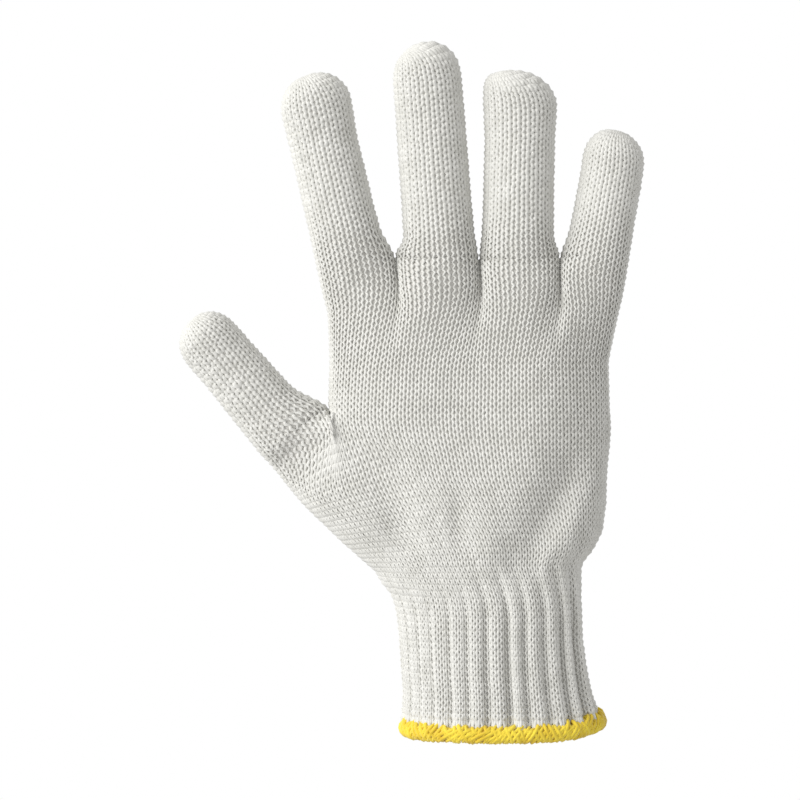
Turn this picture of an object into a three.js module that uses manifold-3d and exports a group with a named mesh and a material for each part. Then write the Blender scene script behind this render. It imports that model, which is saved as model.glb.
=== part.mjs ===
// A seamless knitted cotton work glove, held in the full form that a hand gives it.
// Millimetres. +Z runs up to the fingertips, +X to the little finger, -Y to the palm's side.
// The origin is the middle of the wrist opening, on the plane of the glove's lower edge.
import * as THREE from "three";
import { mergeVertices } from "three/addons/utils/BufferGeometryUtils.js";
import Module from "manifold-3d";

const wasm = await Module();
wasm.setup();

// Driving sizes
const knitWall = 2.2; // thickness of the knitted fabric
const joinGap = 0.3; // clearance between pieces that meet
const edgeHeight = 6; // the overlocked edge, top to bottom
const edgeThickness = 4.6; // and from inside to outside
const cuffHeight = 48;
const cuffWidth = 64.4;
const cuffDepth = 46;
const ribCount = 25; // gathers round the elastic cuff
const ribDepth = 2; // from ridge to valley
const palmHeight = 117; // from the cuff to the line where the fingers start
const palmWidth = 97;
const palmDepth = 37;
const palmShift = -10.8; // the palm's middle stands this far towards the thumb
const fingerCurl = 8; // how far the middle fingertip bends to the palm side
const crotchSink = 4.2; // the webs between the fingers lie this far below the finger line

// Fingers from the thumb side. Gap is the clear space to the finger before, on the finger line.
// Lean and bow are to the little-finger side, bulb widens the tip and blunt squares it.
const fingers = [
  { name: "index_finger", length: 59.2, width: 24.4, depth: 22.4, lean: -12.4, bow: -0.8, gap: 0, bulb: 0.05, apex: 0.0, blunt: 2.15 },
  { name: "middle_finger", length: 68.6, width: 24.6, depth: 22.6, lean: -4.4, bow: 0.1, gap: 6, bulb: -0.01, apex: 0.02, blunt: 2.1 },
  { name: "ring_finger", length: 58.8, width: 25.0, depth: 22.4, lean: 0.8, bow: 0.2, gap: 1.4, bulb: 0.05, apex: -0.17, blunt: 2.6 },
  { name: "little_finger", length: 39.4, width: 22.2, depth: 20.2, lean: 9, bow: 0.6, gap: 3.6, bulb: 0.0, apex: -0.04, blunt: 2.05 },
];
const indexSeat = -53.2; // the index finger's middle on the finger line, from the wrist's middle
const thumb = { name: "thumb", length: 50, width: 22.2, depth: 21.4, lean: -41, bow: 0, bulb: 0.0, apex: 0.03, blunt: 2.1 };
const thumbTip = { x: -108.1, z: 143.9 }; // where the thumb's middle line leaves its tip
const thumbCurl = 4;

// Lengths in these tables are shares of the named sizes.
// Along is a share of a finger's length, width and depth of its own. Minus shares lie in the palm.
const fingerProfile = [
  { along: -0.45, width: 0.68, depth: 0.66, side: 0 },
  { along: -0.2, width: 0.97, depth: 1.04, side: 0 },
  { along: 0.0, width: 1.03, depth: 1.08, side: 0 },
  { along: 0.16, width: 1.0, depth: 1.03, side: 0 },
  { along: 0.6, width: 0.99, depth: 0.95, side: 0 },
];
const thumbProfile = [
  { along: -1.6, width: 0.9, depth: 0.9, side: 0.5 },
  { along: -1.25, width: 1.46, depth: 1.5, side: 0.38 },
  { along: -0.85, width: 1.56, depth: 1.66, side: 0.31 },
  { along: -0.5, width: 1.5, depth: 1.5, side: 0.21 },
  { along: -0.25, width: 1.38, depth: 1.3, side: 0.14 },
  { along: 0.0, width: 1.19, depth: 1.1, side: 0.06 },
  { along: 0.2, width: 1.06, depth: 1.0, side: 0.02 },
  { along: 0.6, width: 1.0, depth: 0.96, side: 0.03 },
];
const domeRows = [0, 0.34, 0.6, 0.8, 0.93, 0.995]; // shares of the fingertip's dome
const hollowDomeRows = [0, 0.55, 0.9];
const domeHeight = 0.5; // of the finger's width

// Height is a share of the palm's height, left and right of its width from the palm's middle,
// back and front of its depth, and fan is how far the outline follows the fingers' own edges.
const palmRows = [
  { height: 0.0, left: -0.314, right: 0.406, back: 0.6, front: 0.6, square: 2.3, fan: 0 },
  { height: 0.05, left: -0.35, right: 0.404, back: 0.6, front: 0.6, square: 2.3, fan: 0 },
  { height: 0.1, left: -0.375, right: 0.448, back: 0.59, front: 0.6, square: 2.3, fan: 0 },
  { height: 0.15, left: -0.392, right: 0.475, back: 0.57, front: 0.59, square: 2.3, fan: 0 },
  { height: 0.23, left: -0.42, right: 0.485, back: 0.55, front: 0.575, square: 2.35, fan: 0 },
  { height: 0.33, left: -0.455, right: 0.488, back: 0.525, front: 0.55, square: 2.4, fan: 0 },
  { height: 0.47, left: -0.51, right: 0.498, back: 0.49, front: 0.51, square: 2.5, fan: 0 },
  { height: 0.65, left: -0.504, right: 0.493, back: 0.455, front: 0.445, square: 2.6, fan: 0 },
  { height: 0.8, left: -0.512, right: 0.528, back: 0.41, front: 0.39, square: 2.8, fan: 0 },
  { height: 0.88, left: -0.52, right: 0.535, back: 0.37, front: 0.355, square: 3, fan: 0.3 },
  { height: 0.93, left: -0.53, right: 0.54, back: 0.31, front: 0.3, square: 3, fan: 0.5 },
];
const palmCrown = [
  { sink: 0.55, inset: 0.02, depth: 0.22 },
  { sink: 0.0, inset: 0.06, depth: 0.08 },
];
// Height is a share of the cuff's height, left and right of its width.
const cuffRows = [
  { height: 0.0, left: -0.53, right: 0.54 },
  { height: 0.2, left: -0.522, right: 0.496 },
  { height: 0.4, left: -0.534, right: 0.469 },
  { height: 0.6, left: -0.542, right: 0.449 },
  { height: 0.78, left: -0.557, right: 0.446 },
  { height: 0.9, left: -0.582, right: 0.442 },
];
// Valleys and ridges where the full hand is drawn in to the cuff. Across is a share of the palm's
// width from its middle, up of its height, width of its width and depth of the knitted wall.
const folds = [
  { side: "palm", across: 0.02, up: 0.74, toAcross: 0.04, toUp: 0.3, width: 0.2, depth: -0.9 },
  { side: "palm", across: -0.3, up: 0.36, toAcross: -0.16, toUp: 0.02, width: 0.05, depth: -0.7 },
  { side: "palm", across: 0.36, up: 0.4, toAcross: 0.14, toUp: 0.02, width: 0.055, depth: -1.2 },
  { side: "palm", across: 0.44, up: 0.3, toAcross: 0.28, toUp: 0.04, width: 0.05, depth: 0.7 },
  { side: "palm", across: -0.08, up: 0.26, toAcross: -0.05, toUp: 0.0, width: 0.035, depth: 0.45 },
  { side: "back", across: -0.26, up: 0.34, toAcross: -0.1, toUp: 0.02, width: 0.055, depth: -0.9 },
  { side: "back", across: 0.3, up: 0.42, toAcross: 0.12, toUp: 0.02, width: 0.055, depth: -1 },
];
const ribFade = 0.24; // the gathers die out over this share of the palm's height

const roundness = 2.3; // 2 is an ellipse, more is squarer
const skinPoints = 4 * ribCount; // points round a level ring of the outside
const hollowPoints = 2 * ribCount;
const digitPoints = 16;
const edgePoints = 8;
const arcSteps = 720;

const cuffBase = edgeHeight + joinGap;
const cuffTop = edgeHeight + cuffHeight;
const fingerLine = cuffTop + palmHeight;
const crownTop = fingerLine - crotchSink;
const across = new THREE.Vector3(1, 0, 0);
const depthwise = new THREE.Vector3(0, 1, 0);

// Each finger stands beside the one before, with their gap between them.
const rootRow = fingerProfile.find((row) => row.along === 0);
let seat = indexSeat;
fingers.forEach((finger, i) => {
  if (i > 0) {
    const before = fingers[i - 1];
    seat += (baseWidth(before) + baseWidth(finger)) / 2 + finger.gap;
  }
  finger.seat = seat;
});

function baseWidth(finger) {
  const lean = THREE.MathUtils.degToRad(finger.lean);
  return (finger.width * rootRow.width) / Math.cos(lean);
}

const lastFinger = fingers[fingers.length - 1];
const fanLeft = fingers[0].seat - baseWidth(fingers[0]) / 2;
const fanRight = lastFinger.seat + baseWidth(lastFinger) / 2;

// Points at even steps round an oval whose half-depth differs in front and behind.
function ovalPoints(section, count) {
  const middle = (section.left + section.right) / 2;
  const half = (section.right - section.left) / 2;
  const square = section.roundness ?? roundness;
  const outline = [];
  for (let i = 0; i <= arcSteps; i++) {
    const turn = (i / arcSteps) * 2 * Math.PI;
    const c = Math.cos(turn);
    const s = Math.sin(turn);
    const depth = s < 0 ? section.back : section.front;
    const x = middle - half * Math.sign(c) * Math.abs(c) ** (2 / square);
    const y = -depth * Math.sign(s) * Math.abs(s) ** (2 / square);
    outline.push(new THREE.Vector2(x, y));
  }
  const lengths = [0];
  for (let i = 1; i <= arcSteps; i++) {
    lengths.push(lengths[i - 1] + outline[i].distanceTo(outline[i - 1]));
  }
  const points = [];
  let at = 0;
  for (let k = 0; k < count; k++) {
    const wanted = (k / count) * lengths[arcSteps];
    while (lengths[at + 1] < wanted) at++;
    const share = (wanted - lengths[at]) / (lengths[at + 1] - lengths[at]);
    points.push(outline[at].clone().lerp(outline[at + 1], share));
  }
  return points;
}

// How far the folds push the fabric out at a point of one side.
function foldDepth(x, z, side) {
  const at = new THREE.Vector2(x, z);
  let sum = 0;
  for (const fold of folds) {
    if (fold.side !== side) continue;
    const start = palmPoint(fold.across, fold.up);
    const line = palmPoint(fold.toAcross, fold.toUp).sub(start);
    const share = THREE.MathUtils.clamp(at.clone().sub(start).dot(line) / line.lengthSq(), 0, 1);
    const away = at.distanceTo(start.addScaledVector(line, share)) / (fold.width * palmWidth);
    const swell = Math.sin(Math.PI * (0.15 + 0.85 * share)) ** 0.5;
    sum += fold.depth * knitWall * swell * Math.exp(-away * away);
  }
  return sum;
}

function palmPoint(acrossShare, upShare) {
  return new THREE.Vector2(palmShift + acrossShare * palmWidth, cuffTop + upShare * palmHeight);
}

// A level ring of the palm or cuff, gathered into ribs by a strength from 0 to 1.
function levelRing(section, z, strength, count) {
  const flat = ovalPoints(section, count);
  return flat.map((point, k) => {
    const before = flat[(k + count - 1) % count];
    const after = flat[(k + 1) % count];
    const out = new THREE.Vector2(after.y - before.y, before.x - after.x).normalize();
    const rib = (ribDepth / 2) * strength * Math.cos((2 * Math.PI * ribCount * k) / count);
    const side = point.y < 0 ? "palm" : "back";
    const turned = Math.abs(out.y);
    const fold = foldDepth(point.x, z, side) * turned * (section.folded ?? 0);
    return new THREE.Vector3(point.x + out.x * (rib + fold), point.y + out.y * (rib + fold), z);
  });
}

// A closed body through rings of equally many points, from the bottom ring to the top one.
function loft(rings) {
  const count = rings[0].length;
  const position = rings.flat().flatMap((point) => point.toArray());
  const index = [];
  for (let r = 0; r < rings.length - 1; r++) {
    for (let k = 0; k < count; k++) {
      const a = r * count + k;
      const b = r * count + ((k + 1) % count);
      index.push(a, b, b + count, a, b + count, a + count);
    }
  }
  const ends = [rings[0], rings[rings.length - 1]];
  ends.forEach((ring, end) => {
    const middle = ring.reduce((sum, point) => sum.add(point), new THREE.Vector3());
    position.push(...middle.divideScalar(count).toArray());
    const hub = rings.length * count + end;
    const first = end * (rings.length - 1) * count;
    for (let k = 0; k < count; k++) {
      const a = first + k;
      const b = first + ((k + 1) % count);
      index.push(...(end ? [a, b, hub] : [b, a, hub]));
    }
  });
  const geometry = new THREE.BufferGeometry();
  geometry.setAttribute("position", new THREE.Float32BufferAttribute(position, 3));
  geometry.setIndex(index);
  return geometry;
}

function solid(geometry) {
  const bare = geometry.clone();
  bare.deleteAttribute("normal");
  bare.deleteAttribute("uv");
  const merged = mergeVertices(bare, 1e-4);
  const mesh = new wasm.Mesh({
    numProp: 3,
    vertProperties: merged.attributes.position.array,
    triVerts: new Uint32Array(merged.index.array),
  });
  return new wasm.Manifold(mesh);
}

function geometryOf(body) {
  const mesh = body.getMesh();
  const geometry = new THREE.BufferGeometry();
  geometry.setAttribute("position", new THREE.BufferAttribute(mesh.vertProperties, 3));
  geometry.setIndex(new THREE.BufferAttribute(mesh.triVerts, 1));
  const faceted = geometry.toNonIndexed();
  faceted.computeVertexNormals();
  return faceted;
}

// The half of space above a plane, as a box large enough to hold the glove.
function spaceAbove(origin, up) {
  const size = 2 * (fingerLine + palmWidth);
  const box = new THREE.BoxGeometry(size, size, size);
  box.translate(0, 0, size / 2);
  box.applyQuaternion(new THREE.Quaternion().setFromUnitVectors(new THREE.Vector3(0, 0, 1), up));
  box.translate(origin.x, origin.y, origin.z);
  return solid(box);
}

// The middle line of a finger or the thumb: base on its line, direction, and sideways direction.
function axisOf(digit) {
  const lean = THREE.MathUtils.degToRad(digit.lean);
  const up = new THREE.Vector3(Math.sin(lean), 0, Math.cos(lean));
  const beside = new THREE.Vector3(Math.cos(lean), 0, -Math.sin(lean));
  if (digit === thumb) {
    const tip = new THREE.Vector3(thumbTip.x, 0, thumbTip.z);
    return { up, beside, base: tip.addScaledVector(up, -digit.length), curl: thumbCurl };
  }
  const middle = fingers[1];
  const curl = fingerCurl * (digit.length / middle.length) ** 2;
  return { up, beside, base: new THREE.Vector3(digit.seat, 0, fingerLine), curl };
}

// The skin of a finger, inset by the wall for its hollow, from inside the palm to the tip.
function digitBody(digit, profile, inset) {
  const { up, beside, base, curl } = axisOf(digit);
  const height = digit.width * domeHeight;
  const reach = digit.length - inset;
  const last = profile[profile.length - 1];
  const rows = profile.map((row) => ({ ...row, s: row.along * digit.length, cap: 1 }));
  const domeBase = reach - (height - inset);
  for (const share of inset > 0 ? hollowDomeRows : domeRows) {
    const cap = (1 - share ** digit.blunt) ** (1 / digit.blunt);
    const width = last.width * (1 + digit.bulb);
    rows.push({ ...last, width, s: domeBase + share * (height - inset), cap, rise: share });
  }
  const rings = rows.map((row) => {
    const t = Math.max(0, row.s / digit.length);
    const halfWidth = ((digit.width * row.width) / 2 - inset) * row.cap;
    const halfDepth = ((digit.depth * row.depth) / 2 - inset) * row.cap;
    const lift = (row.rise ?? 0) ** 2;
    const shift = digit.bow * 4 * t * (1 - t) + digit.width * (row.side + digit.apex * lift);
    const middle = base.clone().addScaledVector(up, row.s).addScaledVector(beside, shift);
    middle.addScaledVector(depthwise, -curl * t * t);
    const flat = ovalPoints(
      { left: -halfWidth, right: halfWidth, back: halfDepth, front: halfDepth, roundness: 2.1 },
      digitPoints,
    );
    return flat.map((p) => middle.clone().addScaledVector(beside, p.x).addScaledVector(depthwise, p.y));
  });
  return solid(loft(rings));
}

// The palm without its fingers, as a section for each row, inset by the wall for its hollow.
function palmSection(row, inset) {
  const left = palmShift + row.left * palmWidth;
  const right = palmShift + row.right * palmWidth;
  return {
    left: THREE.MathUtils.lerp(left, fanLeft, row.fan) + inset,
    right: THREE.MathUtils.lerp(right, fanRight, row.fan) - inset,
    back: row.back * palmDepth - inset,
    front: row.front * palmDepth - inset,
    roundness: row.square,
    folded: 1,
  };
}

function palmBody(inset) {
  const count = inset > 0 ? hollowPoints : skinPoints;
  const rings = palmRows.map((row) => {
    const strength = Math.max(0, 1 - row.height / ribFade);
    const z = cuffTop + row.height * palmHeight;
    return levelRing(palmSection(row, inset), z, strength, count);
  });
  if (inset > 0) {
    // The hollow runs on below, so that it opens into the cuff.
    rings.unshift(rings[0].map((p) => new THREE.Vector3(p.x, p.y, p.z - knitWall)));
  }
  for (const row of palmCrown) {
    const top = palmRows[palmRows.length - 1];
    const z = THREE.MathUtils.lerp(crownTop, cuffTop + top.height * palmHeight, row.sink) - inset;
    const narrower = row.inset * palmWidth;
    const section = palmSection({ ...top, back: row.depth, front: row.depth }, 0);
    section.left += narrower + inset;
    section.right -= narrower + inset;
    section.back = Math.max(section.back - inset / 2, joinGap);
    section.front = Math.max(section.front - inset / 2, joinGap);
    rings.push(levelRing(section, z, 0, count));
  }
  return solid(loft(rings));
}

function cuffSection(row, inset) {
  return {
    left: row.left * cuffWidth + inset,
    right: row.right * cuffWidth - inset,
    back: cuffDepth / 2 - inset,
    front: cuffDepth / 2 - inset,
  };
}

function cuffBody(inset) {
  const count = inset > 0 ? hollowPoints : skinPoints;
  const rings = cuffRows.map((row) => {
    const z = cuffBase + row.height * (cuffHeight - joinGap);
    return levelRing(cuffSection(row, inset), z, 1, count);
  });
  rings.push(levelRing(palmSection(palmRows[0], inset), cuffTop, 1, count));
  if (inset > 0) {
    // The hollow runs past both ends, so that the cuff is open.
    const [low, high] = [rings[0], rings[rings.length - 1]];
    rings.unshift(low.map((p) => new THREE.Vector3(p.x, p.y, p.z - knitWall)));
    rings.push(high.map((p) => new THREE.Vector3(p.x, p.y, p.z + knitWall)));
  }
  return solid(loft(rings));
}

// The overlocked edge: one fat roll of thread round the cuff's lower end.
function edgeGeometry() {
  const outline = ovalPoints(cuffSection(cuffRows[0], knitWall / 2), hollowPoints);
  const position = [];
  const index = [];
  outline.forEach((point, k) => {
    const before = outline[(k + hollowPoints - 1) % hollowPoints];
    const after = outline[(k + 1) % hollowPoints];
    const out = new THREE.Vector2(after.y - before.y, before.x - after.x).normalize();
    for (let m = 0; m < edgePoints; m++) {
      const turn = (m / edgePoints) * 2 * Math.PI;
      const away = (edgeThickness / 2) * Math.cos(turn);
      const z = (edgeHeight / 2) * (1 + Math.sin(turn));
      position.push(point.x + out.x * away, point.y + out.y * away, z);
      const a = k * edgePoints + m;
      const b = k * edgePoints + ((m + 1) % edgePoints);
      const next = (((k + 1) % hollowPoints) - k) * edgePoints;
      index.push(a, a + next, b + next, a, b + next, b);
    }
  });
  const geometry = new THREE.BufferGeometry();
  geometry.setAttribute("position", new THREE.Float32BufferAttribute(position, 3));
  geometry.setIndex(index);
  return geometry;
}

const cotton = new THREE.MeshStandardMaterial({ color: 0xdedfd8, roughness: 0.95, metalness: 0 });
const ribbedCotton = new THREE.MeshStandardMaterial({ color: 0xdcddd4, roughness: 0.95, metalness: 0 });
const yellowThread = new THREE.MeshStandardMaterial({ color: 0xd8bf3c, roughness: 0.85, metalness: 0 });

const glove = new THREE.Group();

function addPiece(name, geometry, material) {
  const mesh = new THREE.Mesh(geometry, material);
  mesh.name = name;
  glove.add(mesh);
}

const level = new THREE.Vector3(0, 0, 1);
const half = joinGap / 2;
const aboveFingerLine = spaceAbove(new THREE.Vector3(0, 0, fingerLine + half), level);
const overPalm = spaceAbove(new THREE.Vector3(0, 0, fingerLine - half), level);

const thumbAxis = axisOf(thumb);
const thumbPlane = (lift) => spaceAbove(thumbAxis.base.clone().addScaledVector(thumbAxis.up, lift), thumbAxis.up);

let palmSkin = palmBody(0);
let palmHollow = palmBody(knitWall);
for (const finger of fingers) {
  const skin = digitBody(finger, fingerProfile, 0);
  const hollow = digitBody(finger, fingerProfile, knitWall);
  palmSkin = palmSkin.add(skin.subtract(overPalm));
  palmHollow = palmHollow.add(hollow);
  const tube = skin.subtract(hollow).intersect(aboveFingerLine);
  addPiece(finger.name, geometryOf(tube), cotton);
}
const thumbSkin = digitBody(thumb, thumbProfile, 0);
const thumbHollow = digitBody(thumb, thumbProfile, knitWall);
const thumbTube = thumbSkin.subtract(thumbHollow).intersect(thumbPlane(half));
addPiece(thumb.name, geometryOf(thumbTube.subtract(palmBody(-joinGap))), cotton);
palmSkin = palmSkin.add(thumbSkin.subtract(thumbPlane(-half)));
palmHollow = palmHollow.add(thumbHollow);

const underCuffTop = spaceAbove(new THREE.Vector3(0, 0, cuffTop), level.clone().negate());
const aboveCuff = spaceAbove(new THREE.Vector3(0, 0, cuffTop + joinGap), level);
const palm = palmSkin.subtract(palmHollow).intersect(aboveCuff);
addPiece("palm", geometryOf(palm), cotton);
const cuff = cuffBody(0).subtract(cuffBody(knitWall)).intersect(underCuffTop);
addPiece("rib_cuff", geometryOf(cuff), ribbedCotton);
addPiece("overlock_edge", edgeGeometry(), yellowThread);

export default glove;
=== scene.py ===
"""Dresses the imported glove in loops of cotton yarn, course by course, and in an overlocked edge."""

import math

import bpy
import numpy as np
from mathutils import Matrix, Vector
from mathutils.bvhtree import BVHTree


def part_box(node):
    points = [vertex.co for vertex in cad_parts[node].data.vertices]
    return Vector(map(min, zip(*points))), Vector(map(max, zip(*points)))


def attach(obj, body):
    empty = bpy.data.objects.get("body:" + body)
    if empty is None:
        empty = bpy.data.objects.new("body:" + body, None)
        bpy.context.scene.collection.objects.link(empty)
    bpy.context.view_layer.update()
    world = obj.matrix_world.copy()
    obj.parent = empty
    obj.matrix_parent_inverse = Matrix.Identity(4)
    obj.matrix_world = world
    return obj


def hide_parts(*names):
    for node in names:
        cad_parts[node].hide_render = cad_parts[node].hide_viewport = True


bl_info = {
    "name": "Knitted Work Glove",
    "version": (1, 0, 0),
    "blender": (4, 5, 0),
    "location": "View3D > Sidebar > Glove",
    "description": "Knits a work glove over its frame, one loop of yarn at a time",
    "category": "Add Mesh",
}

MM = 0.001
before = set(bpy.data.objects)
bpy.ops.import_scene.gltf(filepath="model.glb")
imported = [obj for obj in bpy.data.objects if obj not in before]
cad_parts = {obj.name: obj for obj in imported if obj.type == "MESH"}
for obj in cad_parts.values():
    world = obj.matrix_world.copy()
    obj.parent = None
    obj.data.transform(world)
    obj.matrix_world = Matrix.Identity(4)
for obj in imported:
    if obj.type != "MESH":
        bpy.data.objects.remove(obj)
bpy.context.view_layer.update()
ROOT = "root"
SEED = 7
TINY = 1e-12
# Rows at the top of a widened grid in which a smooth value can't start.
GRID_MARGIN = 2.001

# Yarn

# One loop, up one leg and down the other: shares of a wale across, of a course up, and of its depth back.
LOOP_SHAPE = np.array(
    [
        (0.0, -0.85, 1.0),
        (0.37, -0.5, 0.3),
        (0.13, 0.0, 0.0),
        (0.35, 0.5, 0.5),
        (0.5, 0.82, 1.0),
        (0.65, 0.5, 0.5),
        (0.87, 0.0, 0.0),
        (0.63, -0.5, 0.3),
    ]
)
# How far each loop strays: across in wales, up in courses, and in thickness as a share.
LOOP_STRAY = np.array([0.02, 0.04, 0.06])
# The yarn's thickness as a share of the setting, and over how many courses it goes from one to another.
FULL_YARN = 1
FINGER_FULLNESS = 1.35
PALM_FULLNESS = 0.8
FULLNESS_ROWS = 10
# The room for a loop as a share of a full one: its least and most, its blur in wales, and the yarn's limits.
ROOM_LIMITS = (0.1, 1.35)
ROOM_BLUR = 1.5
YARN_LIMITS = (0.15, 1.4)
YARN_SIDES = 5
# The length of yarn from one ply's ridge to the next, the plies round it, and their height in the bump.
COTTON_PITCH = 2.2 * MM
OVERLOCK_PITCH = 2.6 * MM
PLIES = 2
PLY_HEIGHT = 0.35
# Fibres are too fine to show, so they are drawn as tufts. Slubs are the thicker stretches of soft-spun yarn.
TUFT = MM / 2.2
MATTED_TUFT = MM / 0.9
SLUB = 6.25 * MM
FIBRE_RELIEF = 0.2 * MM
# Where the wall of matted fibres starts and ends, before and behind the middle of the fabric.
WALL_FRONT = 0.05 * MM
WALL_BACK = 0.45 * MM

# Fingers and thumb

FINGERS = ("index_finger", "middle_finger", "ring_finger", "little_finger")
THUMB_LEAN = math.radians(41)
# Rays cast at a finger's skin in each course.
DIGIT_SAMPLES = 64
# The first ray's turn, in samples, so that no ray runs along the frame's seam.
FIRST_TURN = 0.01
# How high the band of points is that gives a finger's root, and how much of its tip gives its direction.
ROOT_BAND = 1 * MM
FINGER_CROWN = 14 * MM
# How far the fingers' knit starts below their roots.
FINGER_RUN = 6.2 * MM
# Lifts of the last full course and of the last ring on a finger's round end.
LAST_COURSE_LIFT = math.radians(80)
LAST_RING_LIFT = math.radians(88)
# Blurs of a finger's middle line in courses, and of its skin round it in samples and up it in courses.
MIDDLE_BLUR = 2.0
ROUND_BLUR = 1.2
UP_BLUR = 0.8
# How far the closed ends of the fingers turn over to their left, as a share of their height.
TIP_TURNS = {
    "index_finger": 0.2,
    "middle_finger": 0.65,
    "ring_finger": 0.6,
    "little_finger": 0.0,
    "thumb": 0.0,
}
# Courses over which neighbours' sides are drawn together, and how steeply that fades towards their middles.
WEB_ROWS = 4
FINGER_WEB_POWER = 3
THUMB_WEB_POWER = 2

# Palm

# Rays cast at each face of the palm or cuff in each course.
PALM_SAMPLES = 90
# How far down beside the thumb the crotch is looked for, and in what steps, in millimetres.
CROTCH_SEARCH = 30
CROTCH_STEP = 0.5
# How far above the crotch the palm's outline is read.
CROTCH_CLEARANCE = 1 * MM
KNUCKLE_CLEARANCE = 2 * MM
# Blurs of rows from row to row, and along a row in samples.
KNUCKLE_BLUR = (1.0, 1.6)
BODY_BLUR = (1.2, 2.0)
EDGE_BLUR = (0.5, 2.0)
# Samples along a row over which its narrow valleys are levelled at the thumb's crotch.
VALLEY_BLUR = 7
# Fine columns in each wale of the cuff and of the palm's heel, which the ribs need.
FINE_COLUMNS = 4
# How a grid meets the next: courses that move aside, courses that move in depth, and blur of their lead.
KNUCKLE_PULL = (20, 16, 2.0)
BODY_PULL = (12, 3, 3.5 * FINE_COLUMNS)
# Courses over which the columns turn into the direction that they take beyond the join.
LEAD_ROWS = 9
# How strongly the columns below the crotch are drawn over to the ball of the thumb.
THENAR_FAN = 0.12
# Shares of a row that bend down to its left: at the cuff, and how much less at the crotch. Then their curve.
CUFF_BEND = 0.55
BEND_LOSS = 0.35
BEND_POWER = 1.3
# Creases of the palm's face, in millimetres: from x and z to x and z, width, and depth, minus for a valley.
CREASES = (
    (-43.8, 90.7, -31.0, 60.0, 4.5, -0.8),
    (-31.0, 84.0, -24.8, 58.0, 3.5, 0.8),
    (-16.2, 86.0, -15.5, 62.0, 3.8, -1.5),
    (-5.2, 78.0, -5.2, 58.0, 4.0, 0.9),
    (27.0, 96.0, 8.5, 64.0, 5.5, -1.8),
    (18.6, 164.0, 13.1, 138.0, 5.0, -1.8),
    (-8.3, 164.0, -12.8, 149.0, 4.5, -1.1),
    (-36.9, 164.0, -42.0, 150.0, 4.5, -0.9),
    (36.0, 185.0, 33.0, 55.0, 15.0, -4.4),
)
# The depth of the palm's face over which creases fade in, and the share of a crease left out at each end.
CREASE_FADE = 6 * MM
CREASE_END = 0.1

# Cuff

# Height of the cuff's courses as a share of the setting.
CUFF_STRETCH = 1.03
# Where the ribs end above the cuff, and over what height they fade, as shares of the cuff's height.
RIB_END = 0.3
RIB_FADE = 0.75
# How far wales crowd into a rib's valleys and how far ribs stray, in wales, and the ribs' uneven height.
RIB_CROWDING = 0.25
RIB_STRAY = 0.3
RIB_UNEVENNESS = 0.25
# Blur of that unevenness in fine columns, and how narrow the valleys are.
RIB_BLUR = 5
RIB_POWER = 1.4
# Ribs are flatter on the left of the front: their least height, and the share of the round where they grow.
RIB_LEAST = 0.45
RIB_GROWTH = 0.25
# How far the columns are drawn round to the left towards the lower edge, as a share of the way round.
CUFF_DRIFT = 0.02
# How the lower edge turns up: all along, more at its right, over what width and height, and its tuck.
HEM_RISE = 0.8 * MM
HEM_TURN = 2.4 * MM
HEM_REACH = 34 * MM
HEM_POWER = 3
HEM_HEIGHT = 22 * MM
HEM_TUCK = 2.5 * MM

# Overlocked edge

# Yarns that wrap the edge: how many times, how far each wrap leans in wraps, and the yarn's radius.
EDGE_YARNS = ((104, 0.9, 0.62 * MM), (86, -0.9, 0.7 * MM), (61, 1.3, 0.66 * MM))
EDGE_HALF_DEPTH = 2.3 * MM
# The share of the edge's length over which its direction is measured.
EDGE_AHEAD = 0.002
# Steps in a wrap, sides of its yarn, and blur of its stray in steps.
WRAP_STEPS = 12
WRAP_SIDES = 6
WRAP_BLUR = 3
# How far wraps stray: along in wraps, out, up over the top, down underneath, and in thickness as a share.
WRAP_STRAY = 0.25
WRAP_OUT_STRAY = 0.2 * MM
WRAP_TOP_STRAY = 0.7 * MM
WRAP_UNDER_STRAY = 0.15 * MM
WRAP_THICKNESS_STRAY = 0.1
# How deep a wrap's yarn lies inside the edge at its top and bottom, in radii.
WRAP_SINK = 0.8
# The core, and how far it lies inside the edge in depth and in height.
CORE_STEPS = 120
CORE_SIDES = 10
CORE_INSET_DEPTH = 0.7 * MM
CORE_INSET_HEIGHT = 0.8 * MM

# Rays

# Where rays start, from a middle or from the glove's centre plane, and how far off those from the side do.
RAY_START = 80 * MM
SIDE_RAY_START = 300 * MM
# Small shifts of a ray that is tried again, as it may have slipped between two triangles.
NUDGES = [Vector(nudge) * 0.05 * MM for nudge in ((0, 0, 0), (1, 1, 1), (-1, 1, -1), (1, -1, -1))]

# Stage

# The photograph's width in pixels, the size of a pixel at the glove, and the camera's distance and aim.
PHOTO_WIDTH = 800
PIXEL = 0.345 * MM
CAMERA_DISTANCE = 900 * MM
CAMERA_AIM = Vector((-35.2 * MM, 0, 116.6 * MM))
SENSOR_WIDTH = 36
# Strength of the white surroundings, as light on the glove and as the backdrop that the camera sees.
SURROUNDINGS = {"To Min": 0.7, "To Max": 1.0}
# The lamps: name, place, size and power.
LAMPS = (("key", (-1.25, -0.85, 0.6), 1.2, 24.5), ("back", (-0.2, 1.4, 0.9), 1.0, 6))


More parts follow.
